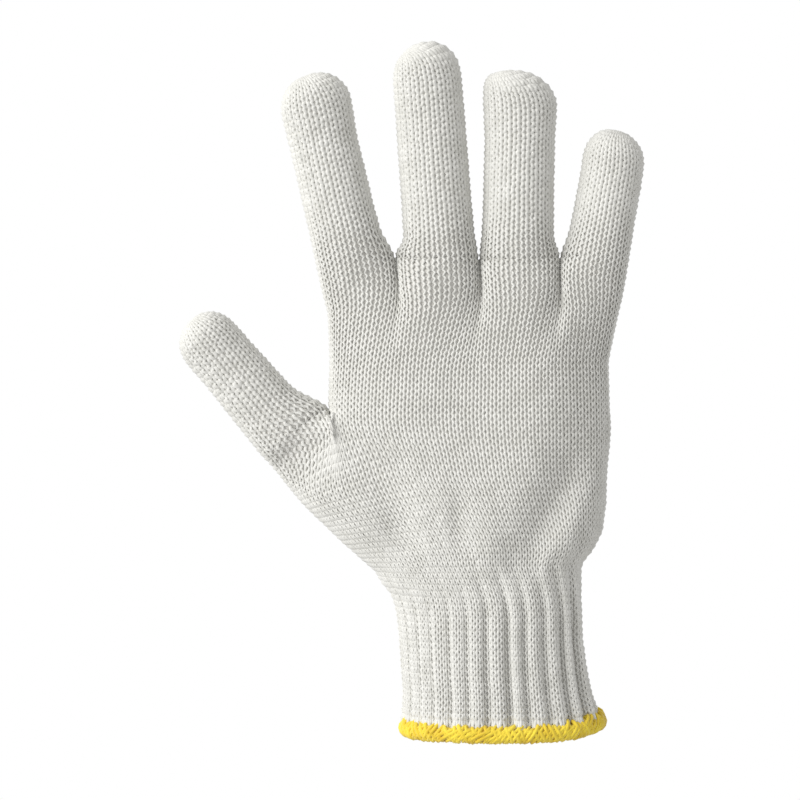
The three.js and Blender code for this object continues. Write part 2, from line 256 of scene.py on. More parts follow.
class KnitSettings(bpy.types.PropertyGroup):
    """Sizes of the yarn and its loops."""

    course: bpy.props.FloatProperty(
        name="Course height",
        description="Height of one row of loops",
        default=2.12 * MM,
        unit="LENGTH",
        subtype="DISTANCE",
    )
    wale: bpy.props.FloatProperty(
        name="Wale width",
        description="Width of one column of loops where the yarn has its full thickness",
        default=2.67 * MM,
        unit="LENGTH",
        subtype="DISTANCE",
    )
    yarn_radius: bpy.props.FloatProperty(
        name="Yarn radius",
        description="Half the thickness of the cotton yarn",
        default=0.56 * MM,
        unit="LENGTH",
        subtype="DISTANCE",
    )
    loop_depth: bpy.props.FloatProperty(
        name="Loop depth",
        description="How far a loop's legs stand in front of the fabric's middle",
        default=0.55 * MM,
        unit="LENGTH",
        subtype="DISTANCE",
    )
    digit_wales: bpy.props.IntProperty(
        name="Finger wales", description="Columns of loops round a finger", default=22
    )
    thumb_wales: bpy.props.IntProperty(
        name="Thumb wales", description="Columns of loops round the thumb", default=20
    )
    rib_wales: bpy.props.IntProperty(
        name="Wales a rib", description="Columns of loops in one rib of the cuff", default=4
    )
    rib_depth: bpy.props.FloatProperty(
        name="Rib depth",
        description="Height of the cuff's ribs over their valleys",
        default=1.75 * MM,
        unit="LENGTH",
        subtype="DISTANCE",
    )


class ColourSettings(bpy.types.PropertyGroup):
    """Colours of the yarns, as hex values."""

    cotton: bpy.props.StringProperty(name="Cotton", description="Off-white cotton yarn", default="D9D8D3")
    cotton_shade: bpy.props.StringProperty(
        name="Cotton shade", description="Cotton yarn where it has no slubs", default="D0CFC9"
    )
    inside: bpy.props.StringProperty(name="Inside", description="Inside of the knit", default="D9D7D2")
    edging: bpy.props.StringProperty(name="Edging", description="Yellow overlock yarn", default="EBD243")
    edging_shade: bpy.props.StringProperty(
        name="Edging shade", description="Overlock yarn where it has no slubs", default="D0AE2C"
    )


def settings():
    """The sizes of the yarn and its loops."""
    return bpy.context.scene.glove_knit


def linear(hex_colour):
    """Turns an sRGB hex colour into Blender's linear one."""
    parts = [int(hex_colour[i : i + 2], 16) / 255 for i in (0, 2, 4)]
    return [c / 12.92 if c <= 0.04045 else ((c + 0.055) / 1.055) ** 2.4 for c in parts] + [1.0]


# Materials


def add_node(tree, kind, values=None, links=None, **attributes):
    """Adds a node, sets its attributes and sockets, and links other nodes' outputs to it."""
    node = tree.nodes.new(kind)
    for name, value in attributes.items():
        setattr(node, name, value)
    for socket, value in (values or {}).items():
        node.inputs[socket].default_value = value
    for socket, output in (links or {}).items():
        tree.links.new(output, node.inputs[socket])
    return node


def new_material(name):
    """Makes a material, or finds it by its name, and empties its tree of nodes, which it returns."""
    material = bpy.data.materials.get(name) or bpy.data.materials.new(name)
    material.use_nodes = True
    material.node_tree.nodes.clear()
    return material.node_tree


def spun_yarn(name, colour, shade, roughness, sheen):
    """Soft-spun yarn: its plies show as slanting ridges and its fibres as a matt bloom."""
    tree = new_material(name)
    place = add_node(tree, "ShaderNodeTexCoord")
    uv = add_node(tree, "ShaderNodeSeparateXYZ", links={0: place.outputs["UV"]})
    turns = add_node(tree, "ShaderNodeMath", {1: 2 * math.pi}, {0: uv.outputs[0]}, operation="MULTIPLY")
    round_yarn = add_node(
        tree,
        "ShaderNodeMath",
        {1: PLIES * 2 * math.pi},
        {0: uv.outputs[1], 2: turns.outputs[0]},
        operation="MULTIPLY_ADD",
    )
    plies = add_node(tree, "ShaderNodeMath", links={0: round_yarn.outputs[0]}, operation="SINE")
    fibres = add_node(
        tree, "ShaderNodeTexNoise", {"Scale": 1 / TUFT, "Detail": 3}, {"Vector": place.outputs["Object"]}
    )
    slubs = add_node(
        tree, "ShaderNodeTexNoise", {"Scale": 1 / SLUB, "Detail": 2}, {"Vector": place.outputs["Object"]}
    )
    height = add_node(
        tree,
        "ShaderNodeMath",
        {1: PLY_HEIGHT},
        {0: plies.outputs[0], 2: fibres.outputs[0]},
        operation="MULTIPLY_ADD",
    )
    bump = add_node(
        tree, "ShaderNodeBump", {"Strength": 0.3, "Distance": FIBRE_RELIEF}, {"Height": height.outputs[0]}
    )
    tint = add_node(tree, "ShaderNodeMix", {"A": linear(shade), "B": linear(colour)}, data_type="RGBA")
    ramp = add_node(
        tree, "ShaderNodeMapRange", {"From Min": 0.25, "From Max": 0.6}, {"Value": slubs.outputs[0]}
    )
    tree.links.new(ramp.outputs[0], tint.inputs["Factor"])
    shader = add_node(
        tree,
        "ShaderNodeBsdfPrincipled",
        {
            "Roughness": roughness,
            "Sheen Weight": sheen,
            "Sheen Roughness": 0.5,
            "Specular IOR Level": 0.2,
        },
        {"Base Color": tint.outputs["Result"], "Normal": bump.outputs[0]},
    )
    add_node(tree, "ShaderNodeOutputMaterial", links={"Surface": shader.outputs[0]})


def shaded_knit(name, colour):
    """The matted fibres between the loops, which the eye sees through the holes as a dull shade."""
    tree = new_material(name)
    place = add_node(tree, "ShaderNodeTexCoord")
    fibres = add_node(
        tree,
        "ShaderNodeTexNoise",
        {"Scale": 1 / MATTED_TUFT, "Detail": 3},
        {"Vector": place.outputs["Object"]},
    )
    bump = add_node(
        tree, "ShaderNodeBump", {"Strength": 0.6, "Distance": FIBRE_RELIEF}, {"Height": fibres.outputs[0]}
    )
    shader = add_node(
        tree,
        "ShaderNodeBsdfPrincipled",
        {"Base Color": linear(colour), "Roughness": 1.0, "Specular IOR Level": 0.1},
        {"Normal": bump.outputs[0]},
    )
    add_node(tree, "ShaderNodeOutputMaterial", links={"Surface": shader.outputs[0]})


# The skin of the frame


def skin_tree(*names):
    """A tree to cast rays at, of the skins of some of the frame's nodes."""
    points, faces = [], []
    for name in names:
        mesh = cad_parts[name].data
        first = len(points)
        points += [vertex.co.copy() for vertex in mesh.vertices]
        faces += [[first + i for i in polygon.vertices] for polygon in mesh.polygons]
    return BVHTree.FromPolygons(points, faces)


def corner_points(name):
    """The corners of one of the frame's nodes, as an array."""
    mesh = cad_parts[name].data
    flat = np.empty(len(mesh.vertices) * 3)
    mesh.vertices.foreach_get("co", flat)
    return flat.reshape(-1, 3)


def ease(share):
    """Goes smoothly from 0 to 1 as a share does."""
    share = np.clip(share, 0, 1)
    return share * share * (3 - 2 * share)


def smooth_along(values, axis, sigma, closed):
    """Blurs an array along one axis, in steps of its samples."""
    reach = max(1, int(3 * sigma))
    weights = np.exp(-0.5 * (np.arange(-reach, reach + 1) / sigma) ** 2)
    weights /= weights.sum()
    pad = [(0, 0)] * values.ndim
    pad[axis] = (reach, reach)
    mode = {"mode": "wrap"} if closed else {"mode": "reflect", "reflect_type": "odd"}
    parts = np.moveaxis(np.pad(values, pad, **mode), axis, 0)
    count = values.shape[axis]
    total = sum(weight * parts[i : i + count] for i, weight in enumerate(weights))
    return np.moveaxis(total, 0, axis)


def even_ring(ring, shares):
    """Points round a closed ring at given shares of its length."""
    closed = np.vstack([ring, ring[:1]])
    steps = np.linalg.norm(np.diff(closed, axis=0), axis=1)
    lengths = np.concatenate([[0], np.cumsum(steps)])
    at = shares * lengths[-1]
    return np.stack([np.interp(at, lengths, closed[:, k]) for k in range(3)], axis=1)


def cast_in(tree, middle, way):
    """The distance from a middle out to the skin, found by rays from outside that start a hair apart."""
    start = Vector(middle + way * RAY_START)
    for nudge in NUDGES:
        hit = tree.ray_cast(start + nudge, Vector(-way), RAY_START)
        if hit[0] is not None:
            return RAY_START - hit[3]
    raise RuntimeError(f"no skin at {tuple(middle)} towards {tuple(way)}")


def edge_x(tree, z, side):
    """The frame's outline at a height, on the left (-1) or the right (1)."""
    start = Vector((side * SIDE_RAY_START, 0, z))
    hit = tree.ray_cast(start, Vector((-side, 0, 0)), 2 * SIDE_RAY_START)
    return hit[0].x


def right_of(up):
    """The level way across a finger, to the right as seen from the front."""
    return np.cross([0, 1, 0], up)


def digit_axis(name):
    """The middle of a finger's root, its direction seen from the front, its length and half its width."""
    points = corner_points(name)
    lean = THUMB_LEAN if name == "thumb" else 0
    up = np.array([-math.sin(lean), 0, math.cos(lean)])
    along = points @ up
    base = points[along < along.min() + ROOT_BAND]
    root = (base.min(axis=0) + base.max(axis=0)) / 2
    if name != "thumb":
        up = points[along > along.max() - FINGER_CROWN].mean(axis=0) - root
        up[1] = 0
        up /= np.linalg.norm(up)
    half_width = np.ptp(base @ right_of(up)) / 2
    return root, up, ((points - root) @ up).max(), half_width


def ways_round(up):
    """Directions round a finger, from its left side over its front, and square to its axis."""
    beside = right_of(up)
    beside /= np.linalg.norm(beside)
    behind = np.cross(up, beside)
    turns = (np.arange(DIGIT_SAMPLES) + FIRST_TURN) / DIGIT_SAMPLES * 2 * math.pi
    return -np.outer(np.cos(turns), beside) - np.outer(np.sin(turns), behind)


def digit_middles(tree, root, up, stations, lowest):
    """The middles of a finger's skin at stations on its axis, carried straight on below the lowest one."""
    middles = []
    for at in stations:
        middle = root + up * max(at, lowest)
        for way in (right_of(up), np.array([0, 1.0, 0])):
            middle = middle + way * (cast_in(tree, middle, way) - cast_in(tree, middle, -way)) / 2
        middles.append(middle - up * max(lowest - at, 0))
    return smooth_along(np.array(middles), 0, MIDDLE_BLUR, False)


def digit_rings(name, wales, course, first):
    """The skin of a finger as one ring for each course, from a first station on its axis to its tip."""
    tree = skin_tree(name)
    root, up, length, half_width = digit_axis(name)
    slant = abs(up[0]) * half_width if name != "thumb" else 0
    lowest = slant + ROOT_BAND
    last = length - half_width
    stations = np.linspace(first, last, int(round((last - first) / course)) + 1)
    middles = digit_middles(tree, root, up, stations, lowest)
    along = np.gradient(middles, axis=0)
    along /= np.linalg.norm(along, axis=1, keepdims=True)
    tops, ways, reach = [], [], []
    for at, middle, way_up in zip(stations, middles, along):
        tops.append(middle)
        ways.append(ways_round(way_up))
        start = middle + up * max(lowest - at, 0)
        reach.append([cast_in(tree, start, way) for way in ways[-1]])
    step = course / half_width
    lifts = np.arange(1, int(LAST_COURSE_LIFT / step) + 1) * step
    for lift in np.append(lifts, LAST_RING_LIFT):
        tops.append(middles[-1])
        over = math.cos(lift) * ways_round(along[-1]) + math.sin(lift) * along[-1]
        over = over - TIP_TURNS[name] * math.sin(lift) ** 2 * right_of(along[-1])
        ways.append(over / np.linalg.norm(over, axis=1, keepdims=True))
        reach.append([cast_in(tree, middles[-1], way) for way in ways[-1]])
    reach = smooth_along(np.array(reach), 1, ROUND_BLUR, True)
    reach = smooth_along(reach, 0, UP_BLUR, False)
    shares = np.arange(wales) / wales
    rings = [top + way * row[:, None] for top, way, row in zip(tops, ways, reach)]
    return np.array([even_ring(ring, shares) for ring in rings])


def flat_row(tree, left, right, bend=1):
    """A ring round the palm or cuff over a line seen from the front, which may bend down on its left."""
    turns = np.linspace(0, math.pi, PALM_SAMPLES)
    share = (1 - np.cos(turns)) / 2
    x = left[0] + (right[0] - left[0]) * share
    z = right[1] - (right[1] - left[1]) * np.clip(1 - share / bend, 0, 1) ** BEND_POWER
    faces = []
    for side in (-1, 1):
        depths = []
        for px, pz in zip(x, z):
            start = Vector((px, side * RAY_START, pz))
            hits = (tree.ray_cast(start + nudge, Vector((0, -side, 0)), RAY_START)[0] for nudge in NUDGES)
            depths.append(next((hit.y for hit in hits if hit is not None), 0.0))
        depths[0] = depths[-1] = 0.0
        faces.append(depths)
    return x, z, np.array(faces[0]), np.array(faces[1])


def filled_row(row, strength):
    """A row whose narrow valleys are filled, as where the thumb's fabric spans to the palm's."""
    x, z, front, back = row
    front = front + strength * np.minimum(smooth_along(front, 0, VALLEY_BLUR, False) - front, 0)
    back = back + strength * np.maximum(smooth_along(back, 0, VALLEY_BLUR, False) - back, 0)
    return x, z, front, back


def rings_of_rows(rows, shares, blur):
    """Smooths rows of the palm together and turns each into a ring with points at its own shares."""
    x, z, front, back = (np.array([row[k] for row in rows]) for k in range(4))
    smoothed = []
    for face in (front, back):
        face = smooth_along(face, 0, blur[0], False)
        face = smooth_along(face, 1, blur[1], False)
        face[:, 0] = face[:, -1] = 0
        smoothed.append(face)
    rings = []
    for j, row_shares in enumerate(shares):
        near = np.stack([x[j], smoothed[0][j], z[j]], axis=1)
        far = np.stack([x[j], smoothed[1][j], z[j]], axis=1)[::-1]
        rings.append(even_ring(np.vstack([near[:-1], far[:-1]]), row_shares))
    return np.array(rings)


# Knitting


def grid_crosses(grid):
    """Outward vectors of a closed grid, as long as the area of one of its cells."""
    across = (np.roll(grid, -1, axis=1) - np.roll(grid, 1, axis=1)) / 2
    return np.cross(across, np.gradient(grid, axis=0))


def grid_normals(grid):
    """Outward normals of a closed grid of rings."""
    normals = grid_crosses(grid)
    return normals / np.maximum(np.linalg.norm(normals, axis=2, keepdims=True), TINY)


def cubic_weights(t):
    """Shares of four neighbours in a smooth value, a share t of the way from the second to the third."""
    return [
        ((2 - t) * t - 1) * t / 2,
        ((3 * t - 5) * t * t + 2) / 2,
        ((4 - 3 * t) * t + 1) * t / 2,
        (t - 1) * t * t / 2,
    ]


def sample_grid(grid, u, v):
    """Smooth values of a closed grid at fractional columns u and rows v, up to two rows past its ends."""
    low = 2 * grid[0] - grid[1]
    high = 2 * grid[-1] - grid[-2]
    wide = np.concatenate([[2 * low - grid[0]], [low], grid, [high], [2 * high - grid[-1]]])
    v = np.clip(v + 2, 1, len(wide) - GRID_MARGIN)
    column, row = np.floor(u).astype(int), np.floor(v).astype(int)
    across, up = cubic_weights(u - column), cubic_weights(v - row)
    count = grid.shape[1]
    total = 0
    for a in range(4):
        for b in range(4):
            picked = wide[np.clip(row + b - 1, 0, len(wide) - 1), (column + a - 1) % count]
            total = total + picked * (across[a] * up[b])[:, None]
    return total


def sweep(path, normal, radius, sides):
    """Points, faces and UV places of a closed tube of yarn along a path, with u the length in metres."""
    tangent = np.roll(path, -1, axis=0) - np.roll(path, 1, axis=0)
    tangent /= np.maximum(np.linalg.norm(tangent, axis=1, keepdims=True), TINY)
    beside = np.cross(tangent, normal)
    beside /= np.maximum(np.linalg.norm(beside, axis=1, keepdims=True), TINY)
    out = np.cross(beside, tangent)
    turns = np.arange(sides) / sides * 2 * math.pi
    ring = np.cos(turns)[None, :, None] * out[:, None] - np.sin(turns)[None, :, None] * beside[:, None]
    points = path[:, None] + ring * radius[:, None, None]
    count = len(path)
    a = (np.arange(count)[:, None] * sides + np.arange(sides)).ravel()
    b = (np.arange(count)[:, None] * sides + (np.arange(sides) + 1) % sides).ravel()
    step = count * sides
    faces = np.stack([a, b, (b + sides) % step, (a + sides) % step], axis=1)
    steps = np.linalg.norm(np.roll(path, -1, axis=0) - path, axis=1)
    start = np.concatenate([[0], np.cumsum(steps)])
    low = np.repeat(start[:-1], sides)
    high = np.repeat(start[1:], sides)
    near = np.tile(np.arange(sides) / sides, count)
    far = near + 1 / sides
    uv = np.stack([[low, near], [low, far], [high, far], [high, near]]).transpose(2, 0, 1)
    return points.reshape(-1, 3), faces, uv


def mesh_object(name, points, faces, uv=None):
    """A mesh object from arrays of points and four-sided faces, with its UV map."""
    mesh = bpy.data.meshes.new(name)
    mesh.vertices.add(len(points))
    mesh.vertices.foreach_set("co", points.astype(np.float32).ravel())
    mesh.loops.add(faces.size)
    mesh.loops.foreach_set("vertex_index", faces.astype(np.int32).ravel())
    mesh.polygons.add(len(faces))
    mesh.polygons.foreach_set("loop_start", np.arange(0, faces.size, 4, dtype=np.int32))
    if uv is not None:
        layer = mesh.uv_layers.new(name="UVMap")
        layer.data.foreach_set("uv", uv.astype(np.float32).ravel())
    mesh.update(calc_edges=True)
    mesh.validate()
    mesh.shade_smooth()
    piece = bpy.data.objects.new(name, mesh)
    bpy.context.collection.objects.link(piece)
    return piece


def strands_object(name, strands, pitch):
    """One mesh object of several closed strands of yarn, whose u in the UV map counts the plies' ridges."""
    points, faces, uvs, first = [], [], [], 0
    for strand_points, strand_faces, uv in strands:
        uv[:, :, 0] /= pitch
        points.append(strand_points)
        faces.append(strand_faces + first)
        uvs.append(uv)
        first += len(strand_points)
    return mesh_object(name, np.vstack(points), np.vstack(faces), np.concatenate(uvs))


def dress(piece, material_name, node):
    """Gives a piece its material and the body that it rides on, and hides the node that it stands for."""
    piece.data.materials.append(bpy.data.materials[material_name])
    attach(piece, ROOT)
    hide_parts(node)


def knit(name, grid, courses, node, random, fine=1, fullness=(FULL_YARN, FULL_YARN)):
    """Knits some courses of a grid, each one closed strand of loops, and dresses a node with them.

    The grid has fine columns in each wale. The yarn's fullness goes from one value to the other.
    """
    sizes = settings()
    normals = grid_normals(grid)
    room = np.linalg.norm(grid_crosses(grid), axis=2, keepdims=True) * fine
    room = np.clip(room / (sizes.wale * sizes.course), *ROOM_LIMITS)
    room = smooth_along(room, 1, ROOM_BLUR * fine, True)
    wales = grid.shape[1] // fine
    across, up, back = (np.tile(column, wales) for column in LOOP_SHAPE.T)
    across = across + np.repeat(np.arange(wales), len(LOOP_SHAPE))
    strands = []
    for course in courses:
        full = fullness[0] + (fullness[1] - fullness[0]) * ease(course / FULLNESS_ROWS)
        radius = sizes.yarn_radius * full
        stray = np.repeat(random.normal(0, 1, (wales, 3)), len(LOOP_SHAPE), axis=0) * LOOP_STRAY
        u = (across + stray[:, 0]) * fine
        v = course + 0.5 + up + stray[:, 1]
        thin = sample_grid(room, u, v)[:, 0].clip(*YARN_LIMITS) ** 0.5
        out = -radius - 2 * sizes.loop_depth * thin * back
        normal = sample_grid(normals, u, v)
        path = sample_grid(grid, u, v) + normal * out[:, None]
        strands.append(sweep(path, normal, radius * thin * (1 + stray[:, 2]), YARN_SIDES))
    piece = strands_object(name, strands, COTTON_PITCH)
    dress(piece, "spun cotton yarn", node)


def backing(name, grid, node, capped):
    """The matted middle of the fabric: a thin closed wall behind the loops' legs."""
    sizes = settings()
    normals = grid_normals(grid)
    middle = sizes.yarn_radius + sizes.loop_depth
    outer = grid - normals * (middle - WALL_FRONT)
    inner = grid - normals * (middle + WALL_BACK)
    rows, wales = grid.shape[:2]
    count = rows * wales
    points = np.vstack([outer.reshape(-1, 3), inner.reshape(-1, 3)])
    faces = []
    column = np.arange(wales)
    after = (column + 1) % wales
    for row in range(rows - 1):
        a, b = row * wales + column, row * wales + after
        faces.append(np.stack([a, b, b + wales, a + wales], axis=1))
        faces.append(np.stack([b, a, a + wales, b + wales], axis=1) + count)
    faces.append(np.stack([after, column, column + count, after + count], axis=1))
    top = (rows - 1) * wales
    if capped:
        for shift, flip in ((top, False), (top + count, True)):
            for k in range(wales // 2 - 1):
                quad = [shift + k, shift + k + 1, shift + wales - 2 - k, shift + wales - 1 - k]
                faces.append(np.array([quad[::-1] if flip else quad]))
    else:
        faces.append(np.stack([column, after, after + count, column + count], axis=1) + top)
    piece = mesh_object(name, points, np.vstack(faces))
    dress(piece, "matted knit inside", node)


# Grids of the glove's tubes


def thumb_crotch():
    """Where the thumb's inner side meets the palm, and how far that is along the thumb's axis."""
    root, up, _, half_width = digit_axis("thumb")
    tree = skin_tree("palm")
    for station in np.arange(0, CROTCH_SEARCH, CROTCH_STEP) * MM:
        at = root + right_of(up) * half_width - up * station
        if edge_x(tree, at[2] + CROTCH_CLEARANCE, -1) <= at[0]:
            break
    return at, -station


def thumb_outer(crotch):
    """The thumb's outer side, straight across it from the crotch."""
    _, up, _, half_width = digit_axis("thumb")
    beside = right_of(up)
    middle = crotch - beside * half_width
    middle[1] = 0
    return middle - beside * cast_in(skin_tree("palm", "thumb"), middle, -beside)


def finger_grids():
    """The skins of the four fingers, with the sides of neighbours drawn together at their webs."""
    sizes = settings()
    grids = [digit_rings(name, sizes.digit_wales, sizes.course, -FINGER_RUN) for name in FINGERS]
    half = sizes.digit_wales // 2
    for left, right in zip(grids, grids[1:]):
        web = (left[0, half] + right[0, 0]) / 2
        for grid, column in ((left, half), (right, 0)):
            middle = grid[0].mean(axis=0)
            offset = web - grid[0, column]
            side = (grid[0, :, 0] - middle[0]) / (grid[0, column, 0] - middle[0])
            for row in range(WEB_ROWS):
                strength = np.clip(side, 0, 1) ** FINGER_WEB_POWER * ease(1 - row / WEB_ROWS)
                grid[row] += strength[:, None] * offset
    return grids


def crown_rings():
    """The rings that the palm meets: the front halves of the fingers' first two, then their back halves."""
    roots = [grid[:2] for grid in finger_grids()]
    half = settings().digit_wales // 2
    fronts = [root[:, :half] for root in roots]
    backs = [root[:, half:] for root in reversed(roots)]
    return np.concatenate(fronts + backs, axis=1)


def crease_depth(points):
    """How far creases press the palm's face in or out at some points."""
    total = np.zeros(points.shape[:-1])
    flat = points[..., [0, 2]] / MM
    for x, z, to_x, to_z, width, depth in CREASES:
        start, line = np.array([x, z]), np.array([to_x - x, to_z - z])
        share = np.clip((flat - start) @ line / (line @ line), 0, 1)
        away = np.linalg.norm(flat - start - share[..., None] * line, axis=-1) / width
        length_share = CREASE_END + (1 - 2 * CREASE_END) * share
        total += depth * MM * np.exp(-away * away) * np.sin(math.pi * length_share)
    return total * ease(-points[..., 1] / CREASE_FADE)


def pull(grid, ring, above, rows, depth_rows, blur):
    """Pulls a grid's last rows on to a ring that it joins: sideways over some rows, in depth over others.

    The last rows also run in the direction that the columns take from that ring to the one above it.
    """
    offset = ring - grid[-1]
    for j in range(rows):
        aside = ease(1 - j / rows)
        deep = ease(1 - j / depth_rows)
        grid[-1 - j] += offset * np.array([aside, deep, aside])
    lead = smooth_along(above - ring, 0, blur, True)
    for j in range(LEAD_ROWS):
        ahead = ring - j * lead - grid[-1 - j]
        grid[-1 - j] += ahead * ease(1 - j / LEAD_ROWS) * np.array([1, 0, 1])
    return grid


def knuckle_grid():
    """The palm's skin from the thumb's crotch to the fingers."""
    low = thumb_crotch()[0][2]
    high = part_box("middle_finger")[0][2] - FINGER_RUN
    tree = skin_tree("palm")
    rows = []
    for z in np.linspace(low, high, int(round((high - low) / settings().course)) + 1):
        left = edge_x(tree, max(z, low + KNUCKLE_CLEARANCE), -1)
        rows.append(flat_row(tree, (left, z), (edge_x(tree, z, 1), z)))
    crown, above = crown_rings()
    shares = np.tile(np.arange(len(crown)) / len(crown), (len(rows), 1))
    grid = rings_of_rows(rows, shares, KNUCKLE_BLUR)
    grid[:, :, 1] -= crease_depth(grid)
    return pull(grid, crown, above, *KNUCKLE_PULL)


def thumb_grid():
    """The thumb's skin, with its inner side drawn over to the palm's edge at the crotch."""
    sizes = settings()
    first = thumb_crotch()[1]
    grid = digit_rings("thumb", sizes.thumb_wales, sizes.course, first)
    half = sizes.thumb_wales // 2
    offset = knuckle_grid()[0, 0] - grid[0, half]
    side = 1 - np.abs(np.arange(sizes.thumb_wales) / half - 1)
    for row in range(WEB_ROWS):
        grid[row] += (side**THUMB_WEB_POWER * ease(1 - row / WEB_ROWS))[:, None] * offset
    return grid


def fine_ring(ring):
    """A closed ring with the fine columns put in between its own."""
    after = np.roll(ring, -1, axis=0)
    steps = np.arange(FINE_COLUMNS)[None, :, None] / FINE_COLUMNS
    return (ring[:, None] * (1 - steps) + after[:, None] * steps).reshape(-1, 3)


def uneven_ribs(front, rib_wales):
    """The height of the ribs as a share of the setting, and how far they stray, at shares of the round."""
    ribs = len(front) // (rib_wales * FINE_COLUMNS)
    draws = np.random.default_rng(SEED).normal(0, 1, (2, ribs, 1))
    spread = (np.repeat(part, rib_wales * FINE_COLUMNS, 0) for part in draws)
    height, stray = (smooth_along(part, 0, RIB_BLUR, True)[:, 0] for part in spread)
    grown = RIB_LEAST + (1 - RIB_LEAST) * ease(front / RIB_GROWTH)
    return (1 + RIB_UNEVENNESS * height) * np.where(front < RIB_GROWTH, grown, 1), stray


def hem_lift(x):
    """How far the glove's lower edge is turned up towards its right end."""
    return HEM_RISE + HEM_TURN * np.clip(x / HEM_REACH, 0, 1) ** HEM_POWER


def body_grid():
    """The skin of the cuff and of the palm up to the thumb's crotch, and how many rows are the cuff's.

    It has fine columns in each wale for the ribs, which fade out into the palm.
    """
    sizes = settings()
    crotch = thumb_crotch()[0]
    tree = skin_tree("rib_cuff", "palm", "thumb")
    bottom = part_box("rib_cuff")[0][2]
    cuff_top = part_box("palm")[0][2]
    outer = thumb_outer(crotch)
    cuff_rows = int(round((cuff_top - bottom) / (sizes.course * CUFF_STRETCH)))
    palm_rows = int(round((crotch[2] - cuff_top) / sizes.course))
    wales = len(FINGERS) * sizes.digit_wales + sizes.thumb_wales
    wale = np.arange(wales * FINE_COLUMNS) / FINE_COLUMNS
    turn = wale / sizes.rib_wales * 2 * math.pi
    height, stray = uneven_ribs(wale / wales, sizes.rib_wales)
    rows, shares, relief = [], [], []
    for j in range(cuff_rows + palm_rows + 1):
        down = 1 - j / cuff_rows
        share = max(-down * cuff_rows / palm_rows, 0)
        z_right = bottom + (cuff_top - bottom) * min(j / cuff_rows, 1) + (crotch[2] - cuff_top) * share
        z_left = z_right + (outer[2] - crotch[2]) * share
        left = (edge_x(tree, z_left, -1), z_left)
        right = (edge_x(tree, z_right, 1), z_right)
        row = flat_row(tree, left, right, CUFF_BEND - BEND_LOSS * share)
        rows.append(filled_row(row, ease(2 * share - 1)))
        strength = ease((down + RIB_END) / RIB_FADE)
        at = wale + RIB_CROWDING * strength * np.sin(turn) + RIB_STRAY * strength * stray
        at = at / wales % 1
        side = 1 - np.abs(1 - 2 * at)
        side = side - THENAR_FAN * math.sin(math.pi * share) * (side - side * side)
        gathered = np.where(at < 0.5, side / 2, 1 - side / 2)
        shares.append(gathered - CUFF_DRIFT * max(down, 0) * np.sin(2 * math.pi * at))
        relief.append(-strength * height * (0.5 - 0.5 * np.cos(turn)) ** RIB_POWER * sizes.rib_depth)
    grid = rings_of_rows(rows, shares, BODY_BLUR)
    grid = grid + grid_normals(grid) * np.array(relief)[:, :, None]
    grid[:, :, 1] -= crease_depth(grid)
    thumb_root = thumb_grid()[:2]
    half = sizes.thumb_wales // 2
    tops = np.concatenate([thumb_root[:, :half], knuckle_grid()[:2], thumb_root[:, half:]], axis=1)
    grid = pull(grid, fine_ring(tops[0]), fine_ring(tops[1]), *BODY_PULL)
    low = np.clip(1 - grid[:, :, 2] / HEM_HEIGHT, 0, 1)
    grid[:, :, 2] += low * hem_lift(grid[:, :, 0])
    grid[0, :, 2] -= HEM_TUCK
    return grid, cuff_rows


# Overlocking


def edge_ring(row, shares):
    """Points on the outside of the lower edge, and the level directions out of it."""
    wanted = shares % 1
    ring = rings_of_rows([row] * 3, [wanted] * 3, EDGE_BLUR)[1]
    ahead = rings_of_rows([row] * 3, [(wanted + EDGE_AHEAD) % 1] * 3, EDGE_BLUR)[1]
    ring[:, 2] += hem_lift(ring[:, 0])
    across = ahead - ring
    out = np.stack([across[:, 1], -across[:, 0], np.zeros(len(across))], axis=1)
    return ring, out / np.linalg.norm(out, axis=1, keepdims=True)


def edge_wraps(row, half_height, wraps, lean, yarn, random):
    """One yarn that wraps the lower edge, as a closed strand."""
    count = wraps * WRAP_STEPS
    turn = np.arange(count) / WRAP_STEPS * 2 * math.pi
    stray = np.repeat(random.normal(0, 1, (wraps, 3)), WRAP_STEPS, axis=0)
    stray = smooth_along(stray, 0, WRAP_BLUR, True)
    along = (np.arange(count) / WRAP_STEPS + WRAP_STRAY * stray[:, 2]) / wraps
    ring, out = edge_ring(row, along + lean / wraps * np.sin(turn))
    reach = EDGE_HALF_DEPTH - yarn + WRAP_OUT_STRAY * stray[:, 0]
    rise_stray = np.where(np.sin(turn) > 0, WRAP_TOP_STRAY, WRAP_UNDER_STRAY) * stray[:, 1]
    rise = half_height - yarn * WRAP_SINK + rise_stray
    path = ring + out * (reach * np.cos(turn) - EDGE_HALF_DEPTH)[:, None]
    path[:, 2] += rise * np.sin(turn)
    normal = out * np.cos(turn)[:, None] + np.array([0, 0, 1.0]) * np.sin(turn)[:, None]
    return sweep(path, normal, yarn * (1 + WRAP_THICKNESS_STRAY * stray[:, 0]), WRAP_SIDES)


def edge_core(row, half_height):
    """The roll under the wraps: a tube that is flattened or stretched to the edge's height."""
    ring, out = edge_ring(row, np.arange(CORE_STEPS) / CORE_STEPS)
    depth = EDGE_HALF_DEPTH - CORE_INSET_DEPTH
    height = half_height - CORE_INSET_HEIGHT
    points, faces, uv = sweep(ring - out * EDGE_HALF_DEPTH, out, np.full(CORE_STEPS, depth), CORE_SIDES)
    rounds = points.reshape(CORE_STEPS, CORE_SIDES, 3)
    middle = ring[:, 2:3]
    rounds[:, :, 2] = middle + (rounds[:, :, 2] - middle) * height / depth
    return points, faces, uv


# Steps


